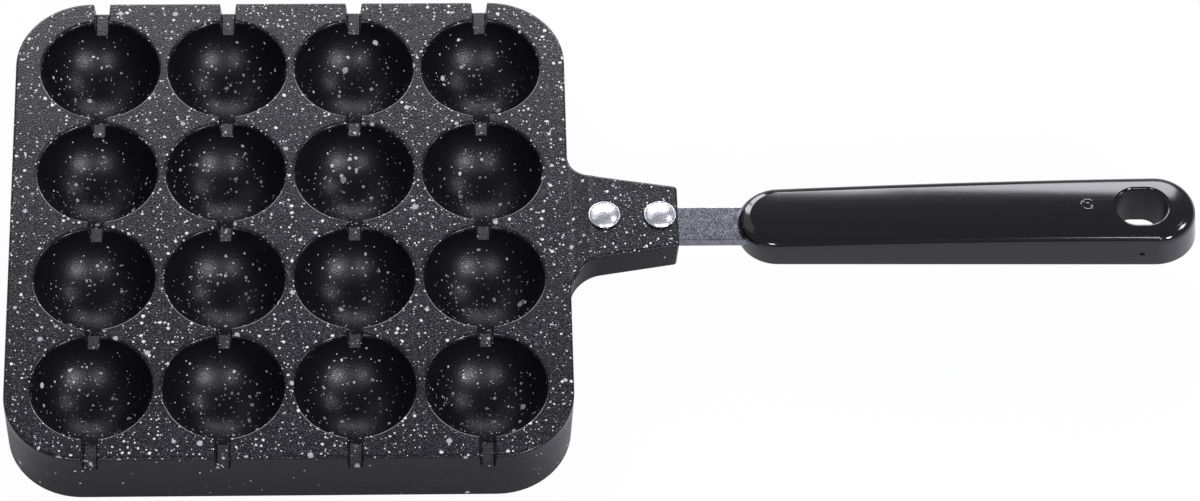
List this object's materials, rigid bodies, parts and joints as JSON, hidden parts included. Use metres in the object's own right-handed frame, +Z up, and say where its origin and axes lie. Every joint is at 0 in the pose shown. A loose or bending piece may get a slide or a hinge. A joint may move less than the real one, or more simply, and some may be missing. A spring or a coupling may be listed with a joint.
{
  "type": "takoyaki pan",
  "caption": "Stove-top takoyaki pan: square coated cast plate with a grid of half-ball cups, slotted ridges and one fixed grip on a riveted steel strap.",
  "frame": {"origin": "on the plane that the skirt stands on, under the middle of the overall length and on the middle of the width", "axes": "+X from the plate along the handle to the grip's end, +Z up out of the cups, +Y to the back, so that the plate's slots run along Y"},
  "size_m": [0.3976, 0.185, 0.0319],
  "materials": {
    "stone_coating": "satin dark speckled non-stick coating on cast aluminium",
    "strap_steel": "satin",
    "rivet_aluminium": "polished",
    "bakelite": "gloss black Bakelite",
    "screw_steel": "satin"
  },
  "bodies": {
    "root": {"pan_casting": "stone_coating", "handle_strap": "strap_steel", "rivet_inner": "rivet_aluminium", "rivet_outer": "rivet_aluminium", "grip": "bakelite", "grip_screw": "screw_steel"}
  },
  "joints": []
}
